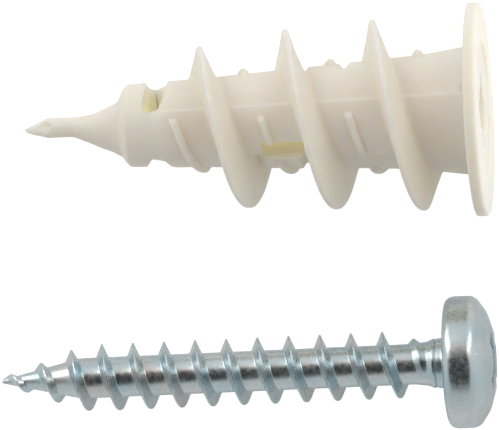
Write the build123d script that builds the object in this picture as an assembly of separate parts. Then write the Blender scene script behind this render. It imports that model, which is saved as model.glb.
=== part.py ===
from build123d import *
import math
import os

# A self-drilling nylon wall anchor and the pan-head screw that goes with it.
# Millimetres. The origin is the centre of the flange's back face, which bears on the wall.
# +X points out of the wall, so the drill point is at -X. +Z is up.

# ---- anchor: lengths along X, negative into the wall ----
TIP_END = -30.0
DRILL_SHOULDER = -28.4
CONE_START = -26.6
CONE_END = -23.8
COLLAR_BACK = -22.95
COLLAR_FACE = -21.8
NECK_FACE = -20.35
BARREL_TAPER_START = -18.3
BARREL_FLARE_START = -3.1

# ---- anchor: radii ----
DRILL_RADIUS = 0.67
DRILL_TIP_RADIUS = 0.08
CONE_RADIUS = 1.55
COLLAR_RADIUS = 2.74
BARREL_RADIUS = 2.98
BARREL_TAPER = 0.061
BARREL_ROOT_RADIUS = 4.35
BORE_RADIUS = 1.6

# ---- flange ----
FLANGE_RADIUS = 7.1
FLANGE_THICKNESS = 0.86
FLANGE_CHAMFER = 0.15
DISH_RADIUS = 4.5
DISH_DEPTH = 0.2
DRIVE_SPAN = 5.0
DRIVE_SLOT_WIDTH = 1.1
DRIVE_DEPTH = 3.0

# ---- cross recesses: each slot narrows to these shares of its mouth ----
RECESS_FLOOR_LENGTH = 0.45
RECESS_FLOOR_WIDTH = 0.8

# ---- neck: two webs carry the drill tip across a through slot ----
SLOT_ANGLE = 20.0
WEB_INNER = 2.15
HINGE_X = (COLLAR_FACE + NECK_FACE) / 2
WEB_KNUCKLE = 1.2
KNUCKLE_CLEARANCE = 0.03

HINGE_LINE = Vector(0, -math.sin(math.radians(SLOT_ANGLE)), math.cos(math.radians(SLOT_ANGLE)))
HOLLOW_DEPTH = 0.9

# ---- flattened drill point ----
BLADE_ANGLE = 60.0
BLADE_SLOPE = 8.0
BLADE_HALF_THICKNESS = 0.12

# ---- window in the barrel wall ----
WINDOW_START = -13.92
WINDOW_LENGTH = 2.9
WINDOW_WIDTH = 1.4
WINDOW_ANGLE = 130.5

# ---- deep thread: one start, right-hand ----
THREAD_PITCH = 5.85
THREAD_TOP_X = -18.12
THREAD_HEIGHT = 2.68
THREAD_CREST_WIDTH = 0.3
THREAD_TIP_SIDE = 0.65
THREAD_HEAD_SIDE = 0.88
THREAD_FIRST = -105.0
THREAD_LAST = 970.0
THREAD_RUN_IN = 170.0
THREAD_RUN_OUT = 75.0
THREAD_END_SHARE = 0.15

# ---- both threads stand this far off the barrel, so that neither cuts into it ----
RIDGE_SEAT = 0.002

# ---- fine thread: low ribs half a pitch from the deep thread ----
FINE_HEIGHT = 0.43
FINE_CREST_WIDTH = 0.25
FINE_BASE_SIDE = 0.35
FINE_RIBS = ((84.0, 195.0), (345.0, 380.0), (446.0, 486.0), (508.0, 560.0), (700.0, 740.0),
             (806.0, 858.0), (880.0, 928.0), (1065.0, 1100.0))

# ---- screw: 4.5 mm across the thread, 30 mm under the head ----
SCREW_AXIS_Y = -16.75
SCREW_HEAD_X = -2.7
SCREW_LENGTH = 30.0
SCREW_MAJOR_RADIUS = 2.25
SCREW_CORE_RADIUS = 1.36
SCREW_POINT_LENGTH = 5.35
SCREW_POINT_RADIUS = 0.12
SCREW_PITCH = 2.1
SCREW_FIRST_TOP = 0.56
SCREW_THREAD_FIRST = -40.0
SCREW_THREAD_LAST = 4820.0
SCREW_THREAD_RUN_OUT = 330.0
SCREW_RISE_LENGTH = 7.0
SCREW_POINT_HEIGHT = 0.22
SCREW_COLLAR_RADIUS = 1.7
SCREW_COLLAR_LENGTH = 1.1
SCREW_FLANK = 0.33
SCREW_POINT_FLANK_SHARE = 0.4
SCREW_CREST_WIDTH = 0.14
HEAD_RADIUS = 4.42
HEAD_BAND = 1.75
HEAD_HEIGHT = 3.2
HEAD_FLAT_RADIUS = 1.9
HEAD_BACK_FILLET = 0.55
HEAD_DOME_MIDDLE = (1.0, 3.35)
HEAD_DRIVE_SPAN = 4.6
HEAD_DRIVE_WIDTH = 1.05
HEAD_DRIVE_DEPTH = 2.2
HEAD_DRIVE_ANGLE = 45.0

# Both pieces lie on one level: the flange's edge and the head's edge reach equally low.
SCREW_AXIS_Z = -FLANGE_RADIUS + HEAD_RADIUS
SCREW_TIP_X = SCREW_HEAD_X - SCREW_LENGTH


def barrel_radius(x):
    """Outer radius of the barrel at x."""
    if x < BARREL_TAPER_START:
        return BARREL_RADIUS
    if x < BARREL_FLARE_START:
        return BARREL_RADIUS + BARREL_TAPER * (x - BARREL_TAPER_START)
    flare_radius = BARREL_RADIUS + BARREL_TAPER * (BARREL_FLARE_START - BARREL_TAPER_START)
    share = (x - BARREL_FLARE_START) / -BARREL_FLARE_START
    return flare_radius + (BARREL_ROOT_RADIUS - flare_radius) * share


def at_angle(x, radius, degrees):
    """The point at x, radius from the X axis, at an angle from +Y towards +Z."""
    angle = math.radians(degrees)
    return Vector(x, radius * math.cos(angle), radius * math.sin(angle))


def turned(points):
    """A solid of revolution about X from (x, radius) corners, closed along the axis."""
    outline = Polyline([(x, radius) for x, radius in points], close=True)
    return revolve(make_face(outline), Axis.X, 360)


def rod(x_start, x_end, radius):
    """A cylinder along X."""
    length = x_end - x_start
    return Plane(origin=(x_start, 0, 0), z_dir=(1, 0, 0)) * Cylinder(
        radius, length, align=(Align.CENTER, Align.CENTER, Align.MIN))


def helical_ridge(first, last, step, section):
    """A solid through the sections that section(degrees) gives as (x, radius) corners."""
    count = max(2, round((last - first) / step))
    wires = []
    for index in range(count + 1):
        degrees = first + (last - first) * index / count
        corners = [at_angle(x, radius, degrees) for x, radius in section(degrees)]
        wires.append(Wire.make_polygon(corners, close=True))
    return Solid.make_loft(wires, False)


def ease(share):
    """A smooth rise from 0 to 1."""
    share = min(1.0, max(0.0, share))
    return share * share * (3 - 2 * share)


def cross_recess(x_face, span, width, depth):
    """Two crossed slots that narrow towards their floor, cut inwards from x_face."""
    face = Plane(origin=(x_face, 0, 0), x_dir=(0, 1, 0), z_dir=(1, 0, 0))
    floor = face.offset(-depth)
    slots = []
    for length, breadth in ((span, width), (width, span)):
        mouth = face * Rectangle(length, breadth)
        along, across = RECESS_FLOOR_LENGTH, RECESS_FLOOR_WIDTH
        if breadth > length:
            along, across = across, along
        narrow = floor * Rectangle(length * along, breadth * across)
        slots.append(loft([narrow, mouth]))
    return slots[0] + slots[1]


def barrel_core():
    """The barrel's outer form, filled solid."""
    flare_radius = barrel_radius(BARREL_FLARE_START)
    return turned([(NECK_FACE, 0), (NECK_FACE, BARREL_RADIUS), (BARREL_TAPER_START, BARREL_RADIUS),
                   (BARREL_FLARE_START, flare_radius), (0, BARREL_ROOT_RADIUS), (0, 0)])


def make_barrel():
    """The hollow tapered barrel, with its drive recess and the window in its wall."""
    window = Plane(origin=(WINDOW_START + WINDOW_LENGTH / 2, 0, 0)) * Rot(X=WINDOW_ANGLE) * Box(
        WINDOW_LENGTH, BARREL_ROOT_RADIUS, WINDOW_WIDTH,
        align=(Align.CENTER, Align.MIN, Align.CENTER))
    recess = cross_recess(FLANGE_THICKNESS, DRIVE_SPAN, DRIVE_SLOT_WIDTH, DRIVE_DEPTH)
    return barrel_core() - rod(NECK_FACE, 0, BORE_RADIUS) - window - recess


def make_flange():
    """The flange: a flat disc with broken edges, dished for the screw's head."""
    disc = rod(0, FLANGE_THICKNESS, FLANGE_RADIUS)
    disc = chamfer(disc.edges(), FLANGE_CHAMFER)
    dish = rod(FLANGE_THICKNESS - DISH_DEPTH, FLANGE_THICKNESS, DISH_RADIUS)
    recess = cross_recess(FLANGE_THICKNESS, DRIVE_SPAN, DRIVE_SLOT_WIDTH, DRIVE_DEPTH)
    return disc - dish - rod(0, FLANGE_THICKNESS, BORE_RADIUS) - recess


def thread_height(degrees):
    """Height of the deep thread, which rises over its run-in and falls over its run-out."""
    run_in = ease((degrees - THREAD_FIRST) / THREAD_RUN_IN + THREAD_END_SHARE)
    run_out = ease((THREAD_LAST - degrees) / THREAD_RUN_OUT + THREAD_END_SHARE)
    return THREAD_HEIGHT * run_in * run_out


def deep_section(degrees):
    """Corners of the deep thread's section: a steep tip side and a sloping head side."""
    x = THREAD_TOP_X + THREAD_PITCH * degrees / 360
    half = THREAD_CREST_WIDTH / 2
    crest = barrel_radius(x) + thread_height(degrees)
    foot, heel = x - THREAD_TIP_SIDE - half, x + THREAD_HEAD_SIDE + half
    return [(foot, barrel_radius(foot) + RIDGE_SEAT), (x - half, crest), (x + half, crest),
            (heel, barrel_radius(heel) + RIDGE_SEAT)]


def fine_section(degrees):
    """Corners of the fine thread's section."""
    x = THREAD_TOP_X + THREAD_PITCH * (degrees / 360 - 0.5)
    half = FINE_CREST_WIDTH / 2
    crest = barrel_radius(x) + FINE_HEIGHT
    foot, heel = x - FINE_BASE_SIDE - half, x + FINE_BASE_SIDE + half
    return [(foot, barrel_radius(foot) + RIDGE_SEAT), (x - half, crest), (x + half, crest),
            (heel, barrel_radius(heel) + RIDGE_SEAT)]


def make_thread():
    """The deep thread, standing on the barrel."""
    return helical_ridge(THREAD_FIRST, THREAD_LAST, 20, deep_section)


def make_fine_thread():
    """The short ribs of the fine thread, each a separate solid on the barrel."""
    return Compound([helical_ridge(first, last, 10, fine_section) for first, last in FINE_RIBS])


def knuckle(side, radius, inner):
    """A disc about the hinge line, on one side of the neck, from inner outwards."""
    across = Plane(origin=(HINGE_X, 0, 0), x_dir=(1, 0, 0), z_dir=(side * HINGE_LINE))
    return across.offset(inner) * Cylinder(radius, COLLAR_RADIUS,
                                           align=(Align.CENTER, Align.CENTER, Align.MIN))


def make_webs():
    """The two webs that bridge the neck slot, each with a round end that the tip turns on."""
    neck = rod(COLLAR_BACK, NECK_FACE, COLLAR_RADIUS)
    webs = []
    for side in (1, -1):
        across = Plane(origin=(HINGE_X, 0, 0), x_dir=(1, 0, 0), z_dir=(side * HINGE_LINE))
        tongue = across.offset(WEB_INNER) * Box(
            NECK_FACE - HINGE_X, 2 * WEB_KNUCKLE, COLLAR_RADIUS,
            align=(Align.MIN, Align.CENTER, Align.MIN))
        web = (tongue + knuckle(side, WEB_KNUCKLE, WEB_INNER)) & neck
        webs.append(web.solid())
    return Compound(webs)


def make_tip():
    """The drill tip: a collar seated on the webs, a flared cone and a flattened point."""
    body = turned([(TIP_END, 0), (TIP_END, DRILL_TIP_RADIUS), (DRILL_SHOULDER, DRILL_RADIUS),
                   (CONE_START, DRILL_RADIUS), (CONE_END, CONE_RADIUS),
                   (COLLAR_BACK, COLLAR_RADIUS), (COLLAR_FACE, COLLAR_RADIUS), (COLLAR_FACE, 0)])
    hollow = turned([(COLLAR_FACE, 0), (COLLAR_FACE, BORE_RADIUS), (COLLAR_FACE - HOLLOW_DEPTH, 0)])
    body = body - hollow
    for side in (1, -1):
        body = body - knuckle(side, WEB_KNUCKLE + KNUCKLE_CLEARANCE, WEB_INNER - KNUCKLE_CLEARANCE)
        flat = Plane(origin=(TIP_END, 0, 0)) * Rot(X=BLADE_ANGLE) * Rot(Z=side * BLADE_SLOPE)
        body = body - flat * Pos(0, side * BLADE_HALF_THICKNESS, 0) * Box(
            DRILL_SHOULDER - TIP_END, 2 * DRILL_RADIUS, 4 * DRILL_RADIUS,
            align=(Align.MIN, Align.MIN if side > 0 else Align.MAX, Align.CENTER))
    return body


def screw_core_radius(x):
    """Radius of the screw's core at x, measured from its tip."""
    if x < SCREW_POINT_LENGTH:
        return SCREW_POINT_RADIUS + (SCREW_CORE_RADIUS - SCREW_POINT_RADIUS) * x / SCREW_POINT_LENGTH
    return SCREW_CORE_RADIUS


def screw_section(degrees):
    """Corners of the screw thread's section, measured from the screw's tip."""
    x = SCREW_FIRST_TOP + SCREW_PITCH * degrees / 360
    full = SCREW_MAJOR_RADIUS - SCREW_CORE_RADIUS
    height = SCREW_POINT_HEIGHT + (full - SCREW_POINT_HEIGHT) * ease(x / SCREW_RISE_LENGTH)
    height *= ease((SCREW_THREAD_LAST - degrees) / SCREW_THREAD_RUN_OUT + THREAD_END_SHARE)
    half = SCREW_CREST_WIDTH / 2
    flank_share = SCREW_POINT_FLANK_SHARE
    flank_share += (1 - flank_share) * ease(x / SCREW_RISE_LENGTH)
    flank = SCREW_FLANK * flank_share
    foot, heel = x - flank - half, x + flank + half
    crest = screw_core_radius(x) + height
    return [(foot, screw_core_radius(foot)), (x - half, crest), (x + half, crest),
            (heel, screw_core_radius(heel))]


def place_screw(solid):
    """Move a piece drawn from the screw's tip on the X axis to where the screw lies."""
    return solid.moved(Location((SCREW_TIP_X, SCREW_AXIS_Y, SCREW_AXIS_Z)))


def make_screw_shank():
    """The core with its point, and the plain collar under the head."""
    collar_start = SCREW_LENGTH - SCREW_COLLAR_LENGTH
    return place_screw(turned([
        (0, 0), (0, SCREW_POINT_RADIUS), (SCREW_POINT_LENGTH, SCREW_CORE_RADIUS),
        (collar_start, SCREW_CORE_RADIUS), (collar_start, SCREW_COLLAR_RADIUS),
        (SCREW_LENGTH, SCREW_COLLAR_RADIUS), (SCREW_LENGTH, 0)]))


def make_screw_thread():
    """The screw's thread, standing on its core."""
    return place_screw(helical_ridge(SCREW_THREAD_FIRST, SCREW_THREAD_LAST, 30, screw_section))


def make_screw_head():
    """The pan head with its cross recess."""
    under, top = SCREW_LENGTH, SCREW_LENGTH + HEAD_HEIGHT
    side = under + HEAD_BAND
    outline = [
        Line((under, 0), (under, HEAD_RADIUS - HEAD_BACK_FILLET)),
        RadiusArc((under, HEAD_RADIUS - HEAD_BACK_FILLET), (under + HEAD_BACK_FILLET, HEAD_RADIUS),
                  HEAD_BACK_FILLET),
        Line((under + HEAD_BACK_FILLET, HEAD_RADIUS), (side, HEAD_RADIUS)),
        ThreePointArc((side, HEAD_RADIUS), (side + HEAD_DOME_MIDDLE[0], HEAD_DOME_MIDDLE[1]),
                      (top, HEAD_FLAT_RADIUS)),
        Line((top, HEAD_FLAT_RADIUS), (top, 0)), Line((top, 0), (under, 0))]
    head = revolve(make_face(outline), Axis.X, 360)
    recess = cross_recess(top, HEAD_DRIVE_SPAN, HEAD_DRIVE_WIDTH, HEAD_DRIVE_DEPTH)
    return place_screw(head - Rot(X=HEAD_DRIVE_ANGLE) * recess)


NODES = {
    "anchor_barrel": make_barrel,
    "anchor_flange": make_flange,
    "anchor_deep_thread": make_thread,
    "anchor_fine_thread": make_fine_thread,
    "neck_webs": make_webs,
    "drill_tip": make_tip,
    "screw_shank": make_screw_shank,
    "screw_thread": make_screw_thread,
    "screw_head": make_screw_head,
}

os.makedirs("parts", exist_ok=True)
for name, make in NODES.items():
    export_step(make(), f"parts/{name}.step")
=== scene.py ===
"""Looks of a self-drilling nylon wall anchor and the zinc-plated pan-head screw that goes with it.

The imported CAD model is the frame. Four pieces stand for its nodes: the moulded body of the anchor
(barrel, threads, neck and drill tip), its flange, the screw's threaded rod and the screw's pan head.
"""

import logging
import math
from collections.abc import Callable, Sequence
from dataclasses import dataclass, field
from enum import Enum

import bpy
import numpy as np
from mathutils import Matrix, Vector

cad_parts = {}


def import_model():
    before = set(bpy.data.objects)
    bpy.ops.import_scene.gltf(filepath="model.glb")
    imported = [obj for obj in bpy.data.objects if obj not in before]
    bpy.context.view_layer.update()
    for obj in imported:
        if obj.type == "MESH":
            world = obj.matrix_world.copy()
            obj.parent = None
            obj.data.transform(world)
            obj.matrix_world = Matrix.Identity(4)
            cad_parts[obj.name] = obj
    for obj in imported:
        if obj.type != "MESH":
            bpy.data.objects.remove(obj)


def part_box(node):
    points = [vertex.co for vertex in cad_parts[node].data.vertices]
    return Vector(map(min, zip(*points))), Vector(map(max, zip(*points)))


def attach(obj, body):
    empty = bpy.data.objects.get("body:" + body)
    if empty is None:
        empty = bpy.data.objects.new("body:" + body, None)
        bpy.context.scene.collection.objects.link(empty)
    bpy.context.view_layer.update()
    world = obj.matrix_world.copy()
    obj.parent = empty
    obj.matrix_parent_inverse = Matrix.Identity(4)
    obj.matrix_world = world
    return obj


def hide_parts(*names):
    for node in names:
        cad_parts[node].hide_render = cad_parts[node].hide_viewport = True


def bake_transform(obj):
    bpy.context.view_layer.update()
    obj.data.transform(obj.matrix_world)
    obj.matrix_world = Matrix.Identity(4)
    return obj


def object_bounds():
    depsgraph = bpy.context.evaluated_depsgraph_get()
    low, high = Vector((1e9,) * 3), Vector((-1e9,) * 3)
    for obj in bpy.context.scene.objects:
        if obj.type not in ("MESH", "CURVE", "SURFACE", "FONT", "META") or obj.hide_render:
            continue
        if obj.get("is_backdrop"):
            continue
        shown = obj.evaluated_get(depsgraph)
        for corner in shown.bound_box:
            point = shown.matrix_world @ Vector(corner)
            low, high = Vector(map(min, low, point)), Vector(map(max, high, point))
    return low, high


log = logging.getLogger("wall_anchor")

MM = 0.001
Array = np.ndarray
Outline = list[tuple[float, float]]


# -------- shader expressions


class Field:
    """A shader value that changes over a surface: an output socket with arithmetic."""

    def __init__(self, graph: "Graph", socket: bpy.types.NodeSocket) -> None:
        """Wraps one output socket of a graph."""
        self.graph = graph
        self.socket = socket

    def _math(self, operation: str, first: "Field | float", second: "Field | float") -> "Field":
        """Adds a Math node and returns its result."""
        return self.graph.field("ShaderNodeMath", {"operation": operation}, {0: first, 1: second})

    def __add__(self, other: "Field | float") -> "Field":
        """self + other."""
        return self._math("ADD", self, other)

    __radd__ = __add__

    def __sub__(self, other: "Field | float") -> "Field":
        """self - other."""
        return self._math("SUBTRACT", self, other)

    def __rsub__(self, other: float) -> "Field":
        """other - self."""
        return self._math("SUBTRACT", other, self)

    def __mul__(self, other: "Field | float") -> "Field":
        """self * other."""
        return self._math("MULTIPLY", self, other)

    __rmul__ = __mul__

    def ramp(self, low: float, high: float) -> "Field":
        """Rises smoothly from 0 at low to 1 at high."""
        return self.graph.field(
            "ShaderNodeMapRange", {"interpolation_type": "SMOOTHSTEP"},
            {"Value": self, "From Min": low, "From Max": high})


class Graph:
    """The node tree of one material or world."""

    def __init__(self, owner: bpy.types.Material | bpy.types.World) -> None:
        """Starts an empty tree on a material or a world."""
        owner.use_nodes = True
        self.tree = owner.node_tree
        self.tree.nodes.clear()

    def node(self, kind: str, settings: dict | None = None,
             inputs: dict | None = None) -> bpy.types.Node:
        """Adds a node.

        Args:
            kind: the node's type.
            settings: its properties, set first.
            inputs: socket name or index to a value, a Field or a socket.

        Returns:
            The node.
        """
        made = self.tree.nodes.new(kind)
        for name, value in (settings or {}).items():
            setattr(made, name, value)
        for name, value in (inputs or {}).items():
            target = made.inputs[name]
            if isinstance(value, Field):
                self.tree.links.new(value.socket, target)
            elif isinstance(value, bpy.types.NodeSocket):
                self.tree.links.new(value, target)
            else:
                target.default_value = value
        return made

    def field(self, kind: str, settings: dict | None = None, inputs: dict | None = None,
              output: int | str = 0) -> Field:
        """Adds a node and wraps one of its outputs."""
        return Field(self, self.node(kind, settings, inputs).outputs[output])

    def place(self) -> Field:
        """The point on the surface, in the piece's own metres."""
        return self.field("ShaderNodeTexCoord", output="Object")

    def stretched(self, scale: tuple[float, float, float]) -> Field:
        """The point on the surface with each axis scaled."""
        return self.field("ShaderNodeVectorMath", {"operation": "MULTIPLY"},
                          {0: self.place(), 1: scale})

    def noise(self, where: Field, scale: float, detail: float = 2.0,
              roughness: float = 0.5) -> Field:
        """Noise from 0 to 1.

        Args:
            where: the point on the surface.
            scale: cycles per metre.
            detail: how many finer layers are added.
            roughness: how strong each finer layer is.

        Returns:
            The noise.
        """
        return self.field("ShaderNodeTexNoise", {},
                          {"Vector": where, "Scale": scale, "Detail": detail,
                           "Roughness": roughness}, "Fac")

    def colour_mix(self, share: Field, first: "Field | Sequence[float]",
                   second: "Field | Sequence[float]") -> Field:
        """Mixes two colours.

        Args:
            share: the share of the second colour.
            first: the colour at share 0.
            second: the colour at share 1.

        Returns:
            The mixed colour.
        """
        made = self.node("ShaderNodeMix", {"data_type": "RGBA", "blend_type": "MIX"})
        sockets = {s.identifier: s for s in made.inputs}
        for name, value in (("Factor_Float", share), ("A_Color", first), ("B_Color", second)):
            if isinstance(value, Field):
                self.tree.links.new(value.socket, sockets[name])
            else:
                sockets[name].default_value = (*value, 1.0)
        return Field(self, next(s for s in made.outputs if s.identifier == "Result_Color"))


# -------- finishes


@dataclass(frozen=True)
class MouldedNylon:
    """Off-white moulded nylon: satin, warmer in its recesses by painted warm light and a painted
    glow, where light comes through it.
    """

    name: str = "moulded_nylon"
    lit: tuple[float, float, float] = (0.90, 0.855, 0.765)
    pale: tuple[float, float, float] = (0.92, 0.885, 0.81)
    # painted warm light: the colour of recess walls and deep-thread feet, standing in for light
    # through the nylon
    deep: tuple[float, float, float] = (0.92, 0.88, 0.73)
    # painted glow: emission colour of the recess walls, standing in for light coming through the
    # nylon
    through: tuple[float, float, float] = (0.10, 0.095, 0.066)
    cloud_scale: float = 260.0
    cloud_range: tuple[float, float] = (0.35, 0.68)
    speck_scale: float = 5200.0
    speck_share: float = 0.35
    flow_scale: float = 1500.0
    flow_stretch: tuple[float, float, float] = (0.25, 1.0, 1.0)
    gloss_scale: float = 900.0
    least_roughness: float = 0.34
    roughness_spread: float = 0.16
    bump_strength: float = 0.12
    bump_depth: float = 0.02 * MM
    translucency: float = 0.85
    depth: float = 1.1 * MM
    depth_by_colour: tuple[float, float, float] = (1.0, 0.85, 0.55)
    refraction: float = 1.53
    specular: float = 0.4

    def material(self) -> bpy.types.Material:
        """Builds the material.

        Returns:
            The material.
        """
        made = bpy.data.materials.new(self.name)
        graph = Graph(made)
        place = graph.place()
        cloud = graph.noise(place, self.cloud_scale, 3.0).ramp(*self.cloud_range)
        speck = graph.noise(place, self.speck_scale)
        # painted warm light: a warmer, brighter colour mixed in by the marked share
        painted_warm_light = graph.field("ShaderNodeAttribute", {"attribute_name": "painted_warm_light"}, output="Fac")
        body = graph.colour_mix(cloud, self.lit, self.pale)
        colour = graph.colour_mix(painted_warm_light, body, self.deep)
        # painted glow: the recess walls give off light though they are no lamp
        painted_glow_share = graph.field("ShaderNodeAttribute", {"attribute_name": "painted_glow_share"}, output="Fac")
        glow = graph.colour_mix(painted_glow_share, (0.0, 0.0, 0.0), self.through)
        gloss = graph.noise(place, self.gloss_scale, 3.0)
        rough = gloss * self.roughness_spread + self.least_roughness
        flow = graph.noise(graph.stretched(self.flow_stretch), self.flow_scale)
        bump = graph.node("ShaderNodeBump", {}, {
            "Height": speck * self.speck_share + flow, "Strength": self.bump_strength,
            "Distance": self.bump_depth})
        shader = graph.node("ShaderNodeBsdfPrincipled", {"subsurface_method": "RANDOM_WALK"}, {
            "Base Color": colour, "Roughness": rough, "Normal": bump.outputs[0],
            "Subsurface Weight": self.translucency, "Subsurface Radius": self.depth_by_colour,
            "Subsurface Scale": self.depth, "IOR": self.refraction,
            "Specular IOR Level": self.specular,
            "Emission Color": glow, "Emission Strength": 1.0})
        graph.node("ShaderNodeOutputMaterial", {}, {"Surface": shader.outputs[0]})
        return made


@dataclass(frozen=True)
class ZincPlate:
    """Bright zinc plate with a faint blue passivation and fine drawing marks."""

    name: str = "bright_zinc_plate"
    cool: tuple[float, float, float] = (0.53, 0.67, 0.72)
    bright: tuple[float, float, float] = (0.66, 0.735, 0.76)
    tint: tuple[float, float, float] = (0.72, 0.64, 0.59)
    cloud_scale: float = 420.0
    cloud_range: tuple[float, float] = (0.36, 0.66)
    bloom_scale: float = 260.0
    bloom_range: tuple[float, float] = (0.52, 0.72)
    bloom_share: float = 0.55
    mark_scale: float = 9000.0
    mark_stretch: tuple[float, float, float] = (1.0, 0.12, 0.12)
    mark_share: float = 0.3
    spangle_scale: float = 3200.0
    spangle_range: tuple[float, float] = (0.3, 0.7)
    least_roughness: float = 0.18
    spangle_roughness: float = 0.14
    mark_roughness: float = 0.08
    bump_strength: float = 0.35
    bump_depth: float = 0.02 * MM

    def material(self) -> bpy.types.Material:
        """Builds the material.

        Returns:
            The material.
        """
        made = bpy.data.materials.new(self.name)
        graph = Graph(made)
        place = graph.place()
        cloud = graph.noise(place, self.cloud_scale, 4.0).ramp(*self.cloud_range)
        bloom = graph.noise(place, self.bloom_scale, 3.0).ramp(*self.bloom_range)
        marks = graph.noise(graph.stretched(self.mark_stretch), self.mark_scale, 3.0)
        spangle = graph.noise(place, self.spangle_scale, 4.0, 0.6)
        metal = graph.colour_mix(cloud, self.cool, self.bright)
        colour = graph.colour_mix(bloom * self.bloom_share, metal, self.tint)
        rough = (spangle.ramp(*self.spangle_range) * self.spangle_roughness
                 + marks * self.mark_roughness + self.least_roughness)
        bump = graph.node("ShaderNodeBump", {}, {
            "Height": marks * self.mark_share + spangle, "Strength": self.bump_strength,
            "Distance": self.bump_depth})
        shader = graph.node("ShaderNodeBsdfPrincipled", {}, {
            "Base Color": colour, "Metallic": 1.0, "Roughness": rough,
            "Normal": bump.outputs[0]})
        graph.node("ShaderNodeOutputMaterial", {}, {"Surface": shader.outputs[0]})
        return made


@dataclass(frozen=True)
class StudioFloor:
    """A plain pale table top, which may be lit from within like a light table."""

    name: str
    grey: float
    glow: float
    roughness: float = 0.8

    def material(self) -> bpy.types.Material:
        """Builds the material.

        Returns:
            The material.
        """
        made = bpy.data.materials.new(self.name)
        graph = Graph(made)
        shader = graph.node("ShaderNodeBsdfPrincipled", {}, {
            "Base Color": (self.grey, self.grey, self.grey, 1.0), "Roughness": self.roughness,
            "Emission Color": (1.0, 1.0, 1.0, 1.0), "Emission Strength": self.glow})
        graph.node("ShaderNodeOutputMaterial", {}, {"Surface": shader.outputs[0]})
        return made


# -------- mesh tools


class Ray(Enum):
    """The kinds of light path that an object can be hidden from."""

    CAMERA = "visible_camera"
    DIFFUSE = "visible_diffuse"
    GLOSSY = "visible_glossy"
    TRANSMISSION = "visible_transmission"
    SHADOW = "visible_shadow"


def hide(target: bpy.types.Object, *rays: Ray) -> None:
    """Hides an object from some kinds of light path."""
    for ray in rays:
        setattr(target, ray.value, False)


def ease(share: Array | float) -> Array:
    """A smooth rise from 0 to 1."""
    share = np.clip(share, 0.0, 1.0)
    return share * share * (3 - 2 * share)


def rounded(corners: Sequence[tuple[float, float, float]], steps: int = 6) -> Outline:
    """An outline with its corners rounded.

    Args:
        corners: (x, y, radius) in order; the ends keep their sharp corners.
        steps: points on each arc, less one.

    Returns:
        The outline's points.
    """
    most, least = 0.49, 1e-6
    made: Outline = [corners[0][:2]]
    for before, corner, after in zip(corners, corners[1:], corners[2:]):
        here = Vector(corner[:2])
        back = Vector(before[:2]) - here
        ahead = Vector(after[:2]) - here
        turn = math.pi - back.angle(ahead, math.pi)
        reach = min(corner[2] * math.tan(turn / 2), back.length * most, ahead.length * most)
        if reach < least:
            made.append(tuple(here))
            continue
        start, end = here + back.normalized() * reach, here + ahead.normalized() * reach
        for index in range(steps + 1):
            share = index / steps
            point = start * (1 - share) ** 2 + here * 2 * share * (1 - share) + end * share ** 2
            made.append(tuple(point))
    made.append(corners[-1][:2])
    return made


def divided(outline: Outline, most: float = 0.25) -> Outline:
    """An outline with its long stretches divided.

    Args:
        outline: the points.
        most: the longest stretch that stays whole.

    Returns:
        The same line with more points on it.
    """
    made = [outline[0]]
    for before, after in zip(outline, outline[1:]):
        parts = max(1, math.ceil(math.dist(before, after) / most))
        for part in range(1, parts + 1):
            share = part / parts
            made.append((before[0] + (after[0] - before[0]) * share,
                         before[1] + (after[1] - before[1]) * share))
    return made


def apart(degrees: Array, middle: float) -> Array:
    """How far each angle is from a middle one, from 0 to 180 degrees."""
    return np.abs((degrees - middle + 180.0) % 360.0 - 180.0)


def around(x: Array, radius: Array | float, degrees: Array) -> Array:
    """Points at x, radius from the X axis, at an angle from +Y towards +Z."""
    angle = np.radians(degrees)
    return np.stack([x, radius * np.cos(angle), radius * np.sin(angle)], axis=-1)


def mesh_object(name: str, points: Array, faces: list[Sequence[int]]) -> bpy.types.Object:
    """A new mesh object in the scene.

    Args:
        name: its name.
        points: one row of x, y, z in millimetres for each point.
        faces: the point indices round each face.

    Returns:
        The object.
    """
    mesh = bpy.data.meshes.new(name)
    mesh.from_pydata((np.asarray(points) * MM).tolist(), [], faces)
    mesh.validate()
    made = bpy.data.objects.new(name, mesh)
    bpy.context.scene.collection.objects.link(made)
    return made


def closed(points: Array, quads: Array, ends: Sequence[Array]) -> tuple[Array, list[list[int]]]:
    """Drops the corners that quads repeat, closes the open ends and leaves out unused points.

    Args:
        points: all points, one row each.
        quads: rows of four point indices, which may repeat one another.
        ends: for each open end, the indices round it in order.

    Returns:
        The points in use, and the faces between them.
    """
    faces = []
    for quad in quads.tolist():
        face = [a for a, b in zip(quad, quad[1:] + quad[:1]) if a != b]
        if len(face) >= 3:
            faces.append(face)
    for ring in ends:
        centre = len(points)
        points = np.vstack([points, points[ring].mean(axis=0)])
        ring = ring.tolist()
        faces += [[a, b, centre] for a, b in zip(ring, ring[1:] + ring[:1])]
    used = sorted({index for face in faces for index in face})
    names = {index: place for place, index in enumerate(used)}
    return points[used], [[names[index] for index in face] for face in faces]


def revolved(name: str, outline: Outline, steps: int = 192) -> bpy.types.Object:
    """A closed form turned about X.

    Args:
        name: its name.
        outline: (x, radius) points, from one point on the axis to another.
        steps: points in one turn.

    Returns:
        The object.
    """
    x, radius = np.array(outline).T
    degrees = np.arange(steps)[:, None] * 360.0 / steps
    points = around(*np.broadcast_arrays(x, radius, degrees)).reshape(-1, 3)
    names = np.arange(steps * len(outline)).reshape(steps, len(outline))
    names[:, 0], names[:, -1] = names[0, 0], names[0, -1]
    ahead = np.roll(names, -1, axis=0)
    quads = np.stack([names[:, :-1], ahead[:, :-1], ahead[:, 1:], names[:, 1:]], axis=-1)
    return mesh_object(name, *closed(points, quads.reshape(-1, 4), []))


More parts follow.
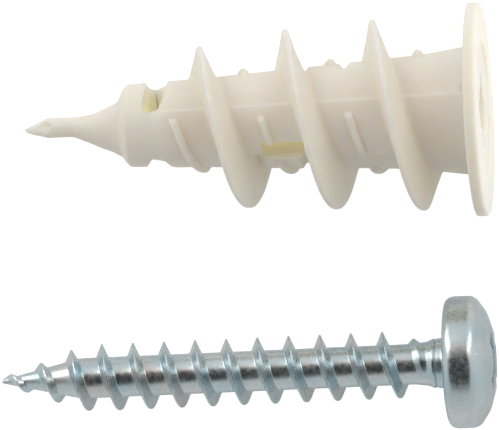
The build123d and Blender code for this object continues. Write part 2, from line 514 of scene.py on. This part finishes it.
def prism(name: str, *layers: Array) -> bpy.types.Object:
    """A closed form through flat outlines.

    Args:
        name: its name.
        layers: the outlines in order, each with the same number of points.

    Returns:
        The object.
    """
    count = len(layers[0])
    last = (len(layers) - 1) * count
    faces = [list(range(count))[::-1], list(range(last, last + count))]
    for base in range(0, last, count):
        faces += [[base + i, base + (i + 1) % count, base + count + (i + 1) % count,
                   base + count + i] for i in range(count)]
    return mesh_object(name, np.vstack(layers), faces)


def outward(target: bpy.types.Object) -> None:
    """Turns a closed mesh's faces outwards.

    Args:
        target: the mesh's object.
    """
    mesh = target.data
    mesh.calc_loop_triangles()
    corners = np.empty(len(mesh.loop_triangles) * 3, np.int32)
    mesh.loop_triangles.foreach_get("vertices", corners)
    a, b, c = coordinates(target)[corners.reshape(-1, 3)].transpose(1, 0, 2)
    if np.einsum("ij,ij->i", a, np.cross(b, c)).sum() < 0:
        mesh.flip_normals()


def cut_away(target: bpy.types.Object, tool: bpy.types.Object) -> None:
    """Cuts a closed tool out of a closed mesh and removes the tool.

    Args:
        target: what is cut.
        tool: the form that is cut away.
    """
    outward(target)
    outward(tool)
    modifier = target.modifiers.new("cut", "BOOLEAN")
    modifier.operation = "DIFFERENCE"
    modifier.solver = "MANIFOLD"
    modifier.object = tool
    graph = bpy.context.evaluated_depsgraph_get()
    result = bpy.data.meshes.new_from_object(target.evaluated_get(graph))
    before = len(target.data.vertices)
    target.modifiers.clear()
    if len(result.vertices) in (0, before):
        log.warning("%s: cutting away %s changed nothing", target.name, tool.name)
    old = target.data
    target.data = result
    bpy.data.meshes.remove(old)
    bpy.data.objects.remove(tool)


def smooth(target: bpy.types.Object, degrees: float) -> None:
    """Shades a mesh smooth, but for edges sharper than an angle."""
    target.data.shade_smooth()
    target.data.set_sharp_from_angle(angle=math.radians(degrees))


def coordinates(target: bpy.types.Object) -> Array:
    """A mesh's points in millimetres, one row each."""
    co = np.empty(len(target.data.vertices) * 3)
    target.data.vertices.foreach_get("co", co)
    return co.reshape(-1, 3) / MM


def write_points(target: bpy.types.Object, points: Array) -> None:
    """Sets a mesh's points from millimetres."""
    target.data.vertices.foreach_set("co", (points * MM).ravel())
    target.data.update()


def tag(target: bpy.types.Object, name: str, values: Array) -> None:
    """Stores one number for each point of a mesh."""
    attribute = target.data.attributes.new(name, "FLOAT", "POINT")
    attribute.data.foreach_set("value", values.astype(np.float32))


# -------- threads


@dataclass
class Ridge:
    """One start of a thread: its section and how high it stands along its turns.

    Attributes:
        outline: (axial offset, share of the height) across the ridge.
        lag: how far behind the ribbon's own angle this start is, in degrees.
        height: the height in millimetres at an angle in degrees.
    """

    outline: Outline
    lag: float
    height: Callable[[Array], Array]


@dataclass
class ThreadedSkin:
    """A turned form with helical ridges, as one ribbon that follows the thread.

    Attributes:
        start: x of the skin's first end.
        end: x of its last end.
        pitch: axial advance of one turn.
        top: x of the first ridge's crest at 0 degrees.
        radius: radius of the bare form at x and an angle.
        ridges: the starts, in the order in which they cross one pitch.
        nose: (x, radius) of plain rings beyond the start, going outwards.
        tail: (x, radius) of plain rings beyond the end, going outwards.
        steps: points in one turn.
        spacing: the widest step between columns where there is no ridge.
        snap: points this near an end are moved to it.
    """

    start: float
    end: float
    pitch: float
    top: float
    radius: Callable[[Array, Array], Array]
    ridges: list[Ridge]
    nose: Outline = field(default_factory=list)
    tail: Outline = field(default_factory=list)
    steps: int = 240
    spacing: float = 0.16
    snap: float = 1e-4

    def columns(self) -> list[tuple[float, float, Ridge]]:
        """The columns across one pitch.

        Returns:
            The axial offset, share of the height and ridge of each.
        """
        made = []
        starts = [ridge.outline[0][0] for ridge in self.ridges]
        for ridge, following in zip(self.ridges, [*starts[1:], starts[0] + self.pitch]):
            made += [(offset, share, ridge) for offset, share in ridge.outline]
            last = ridge.outline[-1][0]
            parts = math.ceil((following - last) / self.spacing)
            made += [(last + (following - last) * part / parts, 0.0, ridge)
                     for part in range(1, parts)]
        return [*made, (starts[0] + self.pitch, 0.0, self.ridges[0])]

    def ring(self, at: float, radius: float | None = None) -> Array:
        """One plain ring of points.

        Args:
            at: its x.
            radius: its radius, or None for the bare form's.

        Returns:
            The points.
        """
        angle = np.arange(self.steps) * 360.0 / self.steps
        x = np.full(self.steps, at)
        return around(x, self.radius(x, angle) if radius is None else 0 * x + radius, angle)

    def build(self, name: str) -> bpy.types.Object:
        """Builds the closed mesh.

        Args:
            name: the object's name.

        Returns:
            The object.
        """
        columns = self.columns()
        offsets = np.array([column[0] for column in columns])
        low = math.floor((self.start - self.top - offsets[-1]) / self.pitch * self.steps) - 1
        high = math.ceil((self.end - self.top - offsets[0]) / self.pitch * self.steps) + 1
        turns = np.arange(low, high + 1)
        degrees = turns * 360.0 / self.steps
        x = self.top + self.pitch * degrees[:, None] / 360 + offsets[None, :]
        x[:-self.steps, -1] = x[self.steps:, 0]
        lift = np.stack([share * ridge.height(degrees + ridge.lag) for _, share, ridge in columns],
                        axis=-1)
        before, after = x < self.start + self.snap, x > self.end - self.snap
        x = np.clip(x, self.start, self.end)
        angle = np.broadcast_to(degrees[:, None] % 360.0, x.shape)
        skin = around(x, self.radius(x, angle) + lift, angle).reshape(-1, 3)
        rings = [*[self.ring(*at) for at in reversed(self.nose)], self.ring(self.start),
                 self.ring(self.end), *[self.ring(*at) for at in self.tail]]
        place = x.size + np.arange(len(rings) * self.steps).reshape(len(rings), self.steps)
        first, last = len(self.nose), len(self.nose) + 1
        names = np.arange(x.size).reshape(x.shape)
        names[:-self.steps, -1] = names[self.steps:, 0]
        around_ring = (turns % self.steps)[:, None]
        names = np.where(before, place[first][around_ring], names)
        names = np.where(after, place[last][around_ring], names)
        quads = [np.stack([names[:-1, :-1], names[1:, :-1], names[1:, 1:], names[:-1, 1:]],
                          axis=-1).reshape(-1, 4)]
        for near, far in zip(place, place[1:]):
            if near[0] != place[first][0]:
                quads.append(np.stack([near, np.roll(near, -1), np.roll(far, -1), far], axis=-1))
        kept, faces = closed(np.vstack([skin, *rings]), np.vstack(quads),
                             [place[0][::-1], place[-1]])
        log.info("%s: skin of %d points", name, len(kept))
        return mesh_object(name, kept, faces)


@dataclass(frozen=True)
class DriveRecess:
    """A cross-shaped driver recess along X, which narrows from its mouth to its floor.

    The span and width are those of its slots at the mouth, and the floor's are shares of them.
    """

    mouth: float
    span: float
    width: float
    depth: float
    turned: float = 0.0
    floor_reach: float = 0.24
    floor_half: float = 0.36
    flare: float = 0.45
    stand_off: float = 0.4

    def outline(self, x: float, reach: float, half: float) -> Array:
        """The twelve corners of a cross.

        Args:
            x: where it lies along X.
            reach: half a slot's length.
            half: half a slot's width.

        Returns:
            The corners in order.
        """
        quarter = np.array([(half, half), (reach, half), (reach, -half)])
        corners = []
        for turn in range(4):
            angle = math.radians(self.turned) - turn * math.pi / 2
            y = quarter[:, 0] * math.cos(angle) - quarter[:, 1] * math.sin(angle)
            z = quarter[:, 0] * math.sin(angle) + quarter[:, 1] * math.cos(angle)
            corners.append(np.column_stack([np.full(3, x), y, z]))
        return np.vstack(corners)

    def cutter(self) -> bpy.types.Object:
        """Builds the form that cuts the recess."""
        grow = 1 + self.stand_off * self.flare / self.depth
        return prism(
            "drive",
            self.outline(self.mouth - self.depth, self.span * self.floor_reach,
                         self.width * self.floor_half),
            self.outline(self.mouth + self.stand_off, self.span / 2 * grow, self.width / 2 * grow))


# -------- the anchor


ANCHOR_DRIVE = DriveRecess(mouth=0.86, span=5.0, width=1.1, depth=3.0)


@dataclass(frozen=True)
class Groove:
    """A soft V-groove at x, which runs round the barrel by the spread each way from its middle."""

    at: float
    middle: float
    depth: float = 0.44
    half_width: float = 0.42
    spread: float = 36.0
    fade: float = 6.0

    def relief(self, x: Array, degrees: Array) -> Array:
        """How deep the groove is at x and an angle."""
        along = ease((self.spread - apart(degrees, self.middle)) / self.fade)
        return self.depth * along * ease(1 - np.abs(x - self.at) / self.half_width)


@dataclass(frozen=True)
class Land:
    """A shallow flat-bottomed step between two x, in one side of the barrel."""

    start: float = -7.9
    end: float = -4.9
    middle: float = 171.0
    depth: float = 0.08
    wall: float = 0.15
    spread: float = 32.0
    fade: float = 1.5

    def relief(self, x: Array, degrees: Array) -> Array:
        """How deep the step is at x and an angle."""
        along = ease((x - self.start) / self.wall) * ease((self.end - x) / self.wall)
        return self.depth * along * ease((self.spread - apart(degrees, self.middle)) / self.fade)


@dataclass
class AnchorBody:
    """The anchor's moulded body: barrel, two threads, weak neck and drill tip, as one skin."""

    neck: float = -21.0
    back: float = 0.3
    pitch: float = 5.85
    top: float = -18.12
    thread_height: float = 2.68
    first: float = -105.0
    last: float = 970.0
    run_in: float = 170.0
    run_out: float = 75.0
    end_share: float = 0.05
    fine_height: float = 0.38
    fine_half_width: float = 0.28
    fine_foot: float = 0.34
    rib_fade: float = 7.0
    slot_angle: float = 20.0
    web_inner: float = 2.27
    slot_middle: float = -21.2
    bore: float = 1.6
    window_start: float = -13.92
    window_length: float = 2.9
    window_width: float = 1.4
    window_angle: float = 130.5
    window_corner: float = 0.12
    mould_line: float = 75.0
    mould_rise: float = 0.07
    mould_step: float = 0.14
    flat_rise: float = 83.0
    ribs: tuple[tuple[float, float], ...] = (
        (84.0, 195.0), (345.0, 380.0), (446.0, 486.0), (508.0, 560.0), (700.0, 740.0),
        (806.0, 858.0), (880.0, 928.0), (1065.0, 1100.0))
    barrel: Outline = field(default_factory=lambda: [
        (-21.1, 2.84), (-20.35, 2.93), (-18.3, 2.98), (-3.1, 3.89), (-0.45, 4.28), (-0.12, 4.42),
        (0.3, 4.5)])
    grooves: tuple[Groove, ...] = (Groove(-11.1, 172.0), Groove(-14.2, 172.0),
                                   Groove(-11.15, 352.0), Groove(-8.4, 352.0))
    land: Land = Land()
    drill: Outline = field(default_factory=lambda: rounded([
        (-21.0, 2.83, 0), (-22.95, 2.76, 0.3), (-23.26, 2.42, 0.3), (-23.5, 1.98, 0.4),
        (-24.1, 1.62, 0.6), (-26.65, 0.67, 1.2), (-28.5, 0.67, 0.25), (-29.88, 0.16, 0.12),
        (-30.0, 0.02, 0)], 8))

    def bare_radius(self, x: Array, degrees: Array) -> Array:
        """The body's radius without its threads.

        Args:
            x: where along the body.
            degrees: where round it.

        Returns:
            The radius, with the mould line and the notches in it.
        """
        upper_fade, lower_fade = 4.0, 9.0
        past = (degrees - self.mould_line) % 360.0
        into = np.minimum(past % 180.0, 180.0 - past % 180.0)
        upper = self.mould_rise - self.mould_step * ease(into / upper_fade)
        lower = self.mould_rise * np.exp(-into / lower_fade)
        ends = ease((x - self.neck - 0.1) / 0.6) * ease(-x / 0.5)
        relief = np.where(past > 180.0, upper, lower) * ends
        for notch in (*self.grooves, self.land):
            relief = relief - notch.relief(x, degrees)
        return np.interp(x, *np.array(self.barrel).T) + relief

    def deep_height(self, degrees: Array) -> Array:
        """Height of the deep thread.

        Args:
            degrees: angles along its turns.

        Returns:
            The height at each.
        """
        run_in = ease((degrees - self.first) / self.run_in + self.end_share)
        run_out = ease((self.last - degrees) / self.run_out + self.end_share)
        return self.thread_height * run_in * run_out

    def fine_ribs(self, degrees: Array) -> Array:
        """Height of the fine thread, which is broken into ribs, at an angle."""
        ribs = [ease((degrees - first) / self.rib_fade) * ease((last - degrees) / self.rib_fade)
                for first, last in self.ribs]
        return self.fine_height * sum(ribs)

    def skin(self) -> bpy.types.Object:
        """The body's outer skin.

        Returns:
            The closed form.
        """
        height = self.thread_height
        section = rounded([(-1.25, 0.0, 0.0), (-0.64, 0.0, 0.32), (-0.15, height, 0.15),
                           (0.15, height, 0.15), (0.96, 0.0, 0.4), (1.55, 0.0, 0.0)])
        deep = divided([(offset, lift / height) for offset, lift in section])
        half = self.pitch / 2
        fine = [(half + self.fine_half_width * math.sin(a), max(0.0, math.cos(a)))
                for a in np.radians(np.linspace(-90, 90, 13))]
        fine = [(half - self.fine_foot, 0.0), *fine, (half + self.fine_foot, 0.0)]
        nose = divided(self.drill, 0.09)[1:]
        return ThreadedSkin(self.neck, self.back, self.pitch, self.top, self.bare_radius,
                            [Ridge(deep, 0.0, self.deep_height), Ridge(fine, 360.0, self.fine_ribs)],
                            nose).build("moulded_body")

    def across(self, x: float, along: float, side: float) -> tuple[float, float, float]:
        """A point of the neck slot.

        Args:
            x: where along the body.
            along: how far along the slot.
            side: how far along the hinge line.

        Returns:
            The point.
        """
        angle = math.radians(self.slot_angle)
        return (x, along * math.cos(angle) - side * math.sin(angle),
                along * math.sin(angle) + side * math.cos(angle))

    def slot_cutter(self) -> bpy.types.Object:
        """The slot through the neck, flared where it was cored from each side."""
        corners = rounded([
            (-21.2, 3.4, 0), (-21.55, 2.85, 0.5), (-21.78, 2.3, 0.4), (-21.74, 0.6, 0.5),
            (-21.35, -1.5, 0.4), (-21.6, -2.15, 0.4), (-22.0, -2.75, 0.2), (-22.5, -3.4, 0),
            (-18.9, -3.4, 0), (-20.2, -2.45, 0.8),
            (-20.78, -0.6, 0.5), (-20.78, 1.5, 0.5), (-20.3, 2.35, 0.3), (-20.1, 3.4, 0)], 5)
        walls = ((-1.0, 0.42), (-0.98, 0.26), (-0.93, 0.12), (-0.84, 0.03), (-0.7, 0.0),
                 (0.85, 0.0), (0.96, 0.05), (1.0, 0.14))
        layers = [
            np.array([self.across(x + math.copysign(inset, self.slot_middle - x), along,
                                  share * self.web_inner) for x, along in corners])
            for share, inset in walls]
        return prism("slot", *layers)

    def window_cutter(self, start: float, degrees: float) -> bpy.types.Object:
        """A window through the barrel wall.

        Args:
            start: x of its tip end.
            degrees: the direction in which it looks out.

        Returns:
            The cutter.
        """
        half, corner = self.window_width / 2, self.window_corner
        end = start + self.window_length
        outline = rounded([(start, 0, 0), (start, half, corner), (end, half, corner),
                           (end, -half, corner), (start, -half, corner), (start, 0, 0)], 3)[:-1]
        turn = Matrix.Rotation(math.radians(degrees), 3, "X")
        within, beyond = 0.2, 5.5
        low, high = (np.array([turn @ Vector((x, reach, z)) for x, z in outline])
                     for reach in (within, beyond))
        return prism("window", low, high)

    def vent_cutter(self) -> bpy.types.Object:
        """A small notch in the barrel where it meets the flange."""
        x, angle = np.array(((-0.56, 67), (-0.24, 65), (-0.24, 75), (-0.5, 74))).T
        floor, beyond = 4.2, 5.2
        return prism("vent", around(x, floor, angle), around(x, beyond, angle))

    def flatten_blade(self, points: Array) -> None:
        """Squeezes the drill point into a blade and scoops one side of it.

        Args:
            points: the body's points, which are changed.
        """
        squeeze, shoulder, length = 0.45, -28.0, 1.4
        lip_start, lip_slope, lip_side, edge = -28.05, 0.85, 0.05, 0.14
        scoop_depth, scoop_slope = 0.42, 0.16
        x = points[:, 0].copy()
        angle = math.radians(self.flat_rise)
        flat = np.array([0.0, math.cos(angle), math.sin(angle)])
        broad = np.array([0.0, math.sin(angle), -math.cos(angle)])
        points -= np.outer((points @ flat) * ease((shoulder - x) / length) * squeeze, flat)
        lip = lip_start - lip_slope * np.abs(points @ broad - lip_side)
        floor = scoop_depth - scoop_slope * (lip - x)
        over = np.maximum(points @ flat - floor, 0.0) * ease((lip - x) / edge)
        points -= np.outer(over, flat)

    def shape_point(self, body: bpy.types.Object) -> None:
        """Shapes the drill point, sets it a little off centre and flattens one side of the cone.

        Args:
            body: the piece.
        """
        rod_shift, cone_shift = 0.09, 0.11
        flat = np.array([(-26.4, 0.74), (-25.3, 0.88), (-23.6, 1.6), (-23.15, 3.0)])
        points = coordinates(body)
        self.flatten_blade(points)
        x, y = points[:, 0], points[:, 1]
        y += rod_shift * ease((-26.0 - x) / 1.2) * ease((x + 29.6) / 1.0)
        y -= cone_shift * ease((x + 25.9) / 1.4) * ease((-23.3 - x) / 0.3)
        beside = (x > flat[0, 0]) & (x < flat[-1, 0])
        y -= np.maximum(y - np.interp(x, *flat.T), 0.0) * beside
        write_points(body, points)

    def painted_warm_light(self, body: bpy.types.Object) -> None:
        """Marks painted warm light and painted glow on the walls of the bore, slot and windows, and
        painted warm light at the feet of the deep thread.

        Args:
            body: the piece.
        """
        wall, wall_fade, tip_end = 0.12, 0.9, -22.6
        head_foot, tip_foot, foot_width, foot_share = 0.98, -0.78, 0.5, 0.38
        points = coordinates(body)
        x = points[:, 0]
        radius = np.hypot(points[:, 1], points[:, 2])
        degrees = np.degrees(np.arctan2(points[:, 2], points[:, 1])) % 360.0
        bare = self.bare_radius(x, degrees)
        # walls sunk below the bare surface get painted warm light and painted glow
        hidden = ease((bare - radius - wall) / wall_fade) * ease((x - tip_end) / 0.2)
        turns = (x - self.top) / self.pitch - degrees / 360.0
        offset = (turns - np.round(turns)) * self.pitch
        share = self.deep_height(degrees + 360.0 * np.round(turns)) / self.thread_height
        foot = np.abs(offset - np.where(offset > 0, head_foot, tip_foot))
        # painted warm light at the deep thread's feet, standing in for light between the flights
        near = ease(1 - foot / foot_width) * share * ease(1 - (radius - bare))
        tag(body, "painted_warm_light", np.clip(hidden + foot_share * near, 0.0, 1.0))
        # painted glow on the sunken walls
        tag(body, "painted_glow_share", hidden)

    def build(self, finish: bpy.types.Material) -> bpy.types.Object:
        """Builds the body and dresses it.

        Args:
            finish: the nylon.

        Returns:
            The piece, from the barrel through the neck to the drill tip.
        """
        body = self.skin()
        self.shape_point(body)
        bore = [(-22.6, 0), (-22.3, 1.2), (-21.9, self.bore), (1.0, self.bore), (1.0, 0)]
        cut_away(body, revolved("bore", bore, 96))
        cut_away(body, self.slot_cutter())
        cut_away(body, self.window_cutter(self.window_start, self.window_angle))
        cut_away(body, self.window_cutter(self.window_start + self.pitch / 2,
                                          self.window_angle + 180.0))
        cut_away(body, self.vent_cutter())
        cut_away(body, ANCHOR_DRIVE.cutter())
        self.painted_warm_light(body)
        smooth(body, 38.0)
        body.data.materials.clear()
        body.data.materials.append(finish)
        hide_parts("anchor_barrel", "anchor_deep_thread", "anchor_fine_thread",
                    "neck_webs", "drill_tip")
        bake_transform(body)
        return body


@dataclass
class AnchorFlange:
    """The anchor's flange: a flat disc with a round edge, a dish and a driver recess."""

    radius: float = 7.1
    thickness: float = 0.86
    edge: float = 0.3
    dish_radius: float = 4.4
    dish_depth: float = 0.2
    dish_slope: float = 0.04
    dish_round: float = 0.07
    bore: float = 1.6
    recess_reach: float = 2.8
    # share of painted warm light and painted glow within the driver recess
    recess_painted_light: float = 0.8

    def build(self, finish: bpy.types.Material) -> bpy.types.Object:
        """Builds the flange and dresses it.

        Args:
            finish: the nylon.

        Returns:
            The piece.
        """
        face = self.thickness
        floor = face - self.dish_depth
        fade = 0.3
        outline = rounded([
            (0.0, 0.0, 0.0), (0.0, self.radius, 0.7 * self.edge), (face, self.radius, self.edge),
            (face, self.dish_radius + self.dish_slope, self.dish_round),
            (floor, self.dish_radius - self.dish_slope, self.dish_round),
            (floor, 3.0, 0.3), (floor, 0.0, 0.0)], 6)
        flange = revolved("moulded_flange", outline)
        cut_away(flange, revolved("bore", [(-1, 0), (-1, self.bore), (2, self.bore), (2, 0)], 96))
        cut_away(flange, ANCHOR_DRIVE.cutter())
        points = coordinates(flange)
        radius = np.hypot(points[:, 1], points[:, 2])
        # painted warm light and painted glow below the dish floor, within the driver recess
        below = ease((floor - 0.03 - points[:, 0]) / fade)
        painted_glow_share = self.recess_painted_light * below * ease((self.recess_reach - radius) / fade)
        tag(flange, "painted_warm_light", painted_glow_share)
        # painted glow within the driver recess
        tag(flange, "painted_glow_share", painted_glow_share)
        smooth(flange, 40.0)
        flange.data.materials.clear()
        flange.data.materials.append(finish)
        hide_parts("anchor_flange")
        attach(flange, "anchor")
        return flange


# -------- the screw


@dataclass
class Screw:
    """The pan-head screw, drawn along X from its tip and laid where the frame has it."""

    length: float = 30.0
    core: float = 1.36
    major: float = 2.25
    point_length: float = 5.35
    pitch: float = 2.1
    first_top: float = 0.56
    least_height: float = 0.22
    full_from: float = 7.0
    last: float = 4820.0
    run_in: float = 60.0
    run_out: float = 330.0
    collar: float = 1.7
    collar_start: float = 28.75
    collar_foot: float = 0.12
    head_radius: float = 4.415
    head_height: float = 3.2
    head_band: float = 1.75
    place: Vector = field(default_factory=Vector)

    def __post_init__(self) -> None:
        """Reads where the screw lies from the frame's shank."""
        low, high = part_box("screw_shank")
        self.place = Vector((low.x, (low.y + high.y) / 2, (low.z + high.z) / 2))

    def bare_radius(self, x: Array, degrees: Array) -> Array:
        """The radius of the core with its point, up to where the collar begins.

        Args:
            x: where along the screw.
            degrees: where round it, which makes no difference.

        Returns:
            The radius.
        """
        return np.interp(x, (0.0, 0.06, self.point_length, 27.9, self.collar_start),
                         (0.02, 0.13, self.core, self.core, self.core + self.collar_foot))

    def height(self, degrees: Array) -> Array:
        """Height of the thread.

        Args:
            degrees: angles along its turns.

        Returns:
            The height at each.
        """
        x = self.first_top + self.pitch * degrees / 360.0
        full = self.major - self.core
        rise = self.least_height + (full - self.least_height) * ease(x / self.full_from)
        start = ease((degrees + self.run_in) / self.run_in)
        end = ease((self.last - degrees) / self.run_out)
        return rise * start * end

    def laid(self, piece: bpy.types.Object, finish: bpy.types.Material,
             *nodes: str) -> bpy.types.Object:
        """Puts a piece where the screw lies and dresses it.

        Args:
            piece: the piece, drawn along X from the screw's tip.
            finish: the zinc plate.
            nodes: the frame's nodes that it stands for.

        Returns:
            The piece.
        """
        smooth(piece, 40.0)
        piece.data.transform(Matrix.Translation(self.place))
        piece.data.materials.clear()
        piece.data.materials.append(finish)
        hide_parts(*nodes)
        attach(piece, "screw")
        return piece

    def build_rod(self, finish: bpy.types.Material) -> bpy.types.Object:
        """Builds the shank with its thread.

        Args:
            finish: the zinc plate.

        Returns:
            The piece.
        """
        full = self.major - self.core
        section = rounded([(-1.0, 0.0, 0), (-0.42, 0.0, 0.12), (-0.05, full, 0.045),
                           (0.05, full, 0.045), (0.42, 0.0, 0.12), (1.0, 0.0, 0)], 4)
        ridge = Ridge([(offset, lift / full) for offset, lift in section], 0.0, self.height)
        collar = divided(rounded([
            (self.collar_start, self.core + self.collar_foot, 0), (29.12, self.collar - 0.06, 0.15),
            (29.25, self.collar - 0.05, 0.03), (29.33, self.collar - 0.13, 0.03),
            (29.41, self.collar - 0.04, 0.03), (29.85, self.collar, 0.2), (30.05, 1.95, 0.1),
            (30.3, 1.95, 0)], 4), 0.12)
        rod = ThreadedSkin(0.0, self.collar_start, self.pitch, self.first_top, self.bare_radius,
                           [ridge], [], collar[1:], 120).build("threaded_rod")
        return self.laid(rod, finish, "screw_shank", "screw_thread")

    def build_head(self, finish: bpy.types.Material) -> bpy.types.Object:
        """Builds the pan head with its cross recess.

        Args:
            finish: the zinc plate.

        Returns:
            The piece.
        """
        under, top = self.length, self.length + self.head_height
        side = under + self.head_band
        outline = rounded([
            (under, 0, 0), (under, self.head_radius, 0.75), (side + 0.3, self.head_radius, 0.9),
            (side + 1.05, 3.3, 1.5), (top, 2.0, 0.6), (top, 0, 0)], 10)
        head = revolved("pan_head", outline)
        cut_away(head, DriveRecess(top, span=4.6, width=1.05, depth=2.2, turned=45.0).cutter())
        return self.laid(head, finish, "screw_head")


# -------- the studio


@dataclass(frozen=True)
class SoftBox:
    """A rectangular area light that faces the pieces; the glossy ones are seen in reflections."""

    name: str
    where: tuple[float, float, float]
    size: tuple[float, float]
    watts: float
    glossy: bool = True
    aim: tuple[float, float, float] = (-15.0, -8.0, 0.0)

    def build(self) -> bpy.types.Object:
        """Builds the light.

        Returns:
            The light.
        """
        data = bpy.data.lights.new(self.name, "AREA")
        data.shape = "RECTANGLE"
        data.size, data.size_y = self.size[0] * MM, self.size[1] * MM
        data.energy = self.watts
        lamp = bpy.data.objects.new(self.name, data)
        bpy.context.scene.collection.objects.link(lamp)
        lamp.location = Vector(self.where) * MM
        lamp.rotation_mode = "QUATERNION"
        lamp.rotation_quaternion = (lamp.location - Vector(self.aim) * MM).to_track_quat("Z", "Y")
        if not self.glossy:
            hide(lamp, Ray.GLOSSY)
        return lamp


@dataclass
class Studio:
    """Plain soft light, a pale floor and the camera.

    The camera leans by the tilt towards the head end and sees the view width at its aim.
    """

    tilt: float = 6.6
    roll: float = -2.59
    distance: float = 500.0
    sensor: float = 36.0
    view_width: float = 33.2955
    aim: Vector = field(default_factory=lambda: Vector((-15.33, -6.31, -1.34)))
    boxes: tuple[SoftBox, ...] = (
        SoftBox("left_box", (-215, 190, 215), (150, 300), 0.28),
        SoftBox("right_box", (215, 165, 235), (110, 300), 0.20),
        SoftBox("rim", (310, 0, 8), (60, 60), 0.42, glossy=False))
    tent_bright: tuple[float, float, float] = (0.74, 0.74, 0.74)
    tent_dim: tuple[float, float, float] = (0.61, 0.60, 0.59)
    tent_warm: tuple[float, float, float] = (0.72, 0.56, 0.48)
    tent_dark: tuple[float, float, float] = (0.045, 0.042, 0.04)
    opening: tuple[float, float, float] = (0.0, -0.2, 0.98)

    def camera(self) -> None:
        """Looks down on the pieces, a little from the head end."""
        tilt = math.radians(self.tilt)
        back = Vector((math.sin(tilt), 0.0, math.cos(tilt)))
        right = Vector((math.cos(tilt), 0.0, -math.sin(tilt)))
        up = back.cross(right)
        turn = Matrix.Rotation(math.radians(self.roll), 3, back)
        right, up = turn @ right, turn @ up
        data = bpy.data.cameras.new("camera")
        data.sensor_width = self.sensor
        data.lens = self.sensor * self.distance / self.view_width
        data.clip_start, data.clip_end = 0.01, 10.0
        camera = bpy.data.objects.new("camera", data)
        bpy.context.scene.collection.objects.link(camera)
        where = (self.aim + back * self.distance) * MM
        basis = Matrix((right, up, back)).transposed().to_4x4()
        camera.matrix_world = Matrix.Translation(where) @ basis
        bpy.context.scene.camera = camera

    def world(self) -> None:
        """A pale tent, brighter towards +Y, with a dark opening overhead."""
        brim_start, brim_end, clear = 0.60, 0.72, 0.90
        world = bpy.data.worlds.new("studio")
        bpy.context.scene.world = world
        graph = Graph(world)
        direction = graph.field("ShaderNodeTexCoord", output="Generated")
        side = graph.field("ShaderNodeSeparateXYZ", {}, {0: direction}, "Y")
        tent = graph.colour_mix(side.ramp(-0.7, 0.6), self.tent_dim, self.tent_bright)
        overhead = graph.field("ShaderNodeVectorMath", {"operation": "DOT_PRODUCT"},
                               {0: direction, 1: self.opening}, "Value")
        brim = overhead.ramp(brim_start, brim_end) * side.ramp(0.0, 0.3)
        shade = graph.colour_mix(brim, tent, self.tent_warm)
        shade = graph.colour_mix(overhead.ramp(brim_end, clear), shade, self.tent_dark)
        background = graph.node("ShaderNodeBackground", {}, {"Color": shade, "Strength": 1.0})
        graph.node("ShaderNodeOutputWorld", {}, {"Surface": background.outputs[0]})

    def floor(self, name: str, level: float, finish: StudioFloor) -> bpy.types.Object:
        """A wide plain floor.

        Args:
            name: the floor's name.
            level: its height in millimetres.
            finish: its finish.

        Returns:
            The floor.
        """
        half = 1500.0
        corners = [(-half, -half), (half, -half), (half, half), (-half, half)]
        floor = mesh_object(name, np.array([(x, y, level) for x, y in corners]), [[0, 1, 2, 3]])
        floor.data.materials.append(finish.material())
        floor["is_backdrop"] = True
        return floor

    def floors(self, level: float) -> None:
        """Lays the white floor that is seen and, just under it, the one that the pieces reflect.

        Args:
            level: the height of the lower one in millimetres.
        """
        gap = 0.02
        seen = self.floor("floor", level + gap, StudioFloor("white_floor", grey=0.5, glow=0.88))
        hide(seen, Ray.DIFFUSE, Ray.GLOSSY, Ray.TRANSMISSION, Ray.SHADOW)
        under = self.floor("floor_reflected", level, StudioFloor("pale_floor", grey=0.80, glow=0.14))
        hide(under, Ray.CAMERA)

    def build(self, level: float) -> None:
        """Sets up the whole studio.

        Args:
            level: the floor's height in millimetres.
        """
        self.camera()
        self.world()
        for box in self.boxes:
            box.build()
        self.floors(level)
        settings = bpy.context.scene.view_settings
        settings.view_transform = "Standard"
        settings.look = "None"


def main() -> None:
    """Builds every piece in order and reports it."""
    logging.basicConfig(level=logging.INFO, format="%(name)s: %(message)s")
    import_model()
    cad_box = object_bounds()
    studio = Studio()
    studio.build(cad_box[0].z / MM)
    nylon, zinc = MouldedNylon().material(), ZincPlate().material()
    screw = Screw()
    pieces = [AnchorBody().build(nylon), AnchorFlange().build(nylon),
              screw.build_rod(zinc), screw.build_head(zinc)]
    for piece in pieces:
        log.info("%s: %d faces", piece.name, len(piece.data.polygons))


if __name__ == "__main__":
    main()
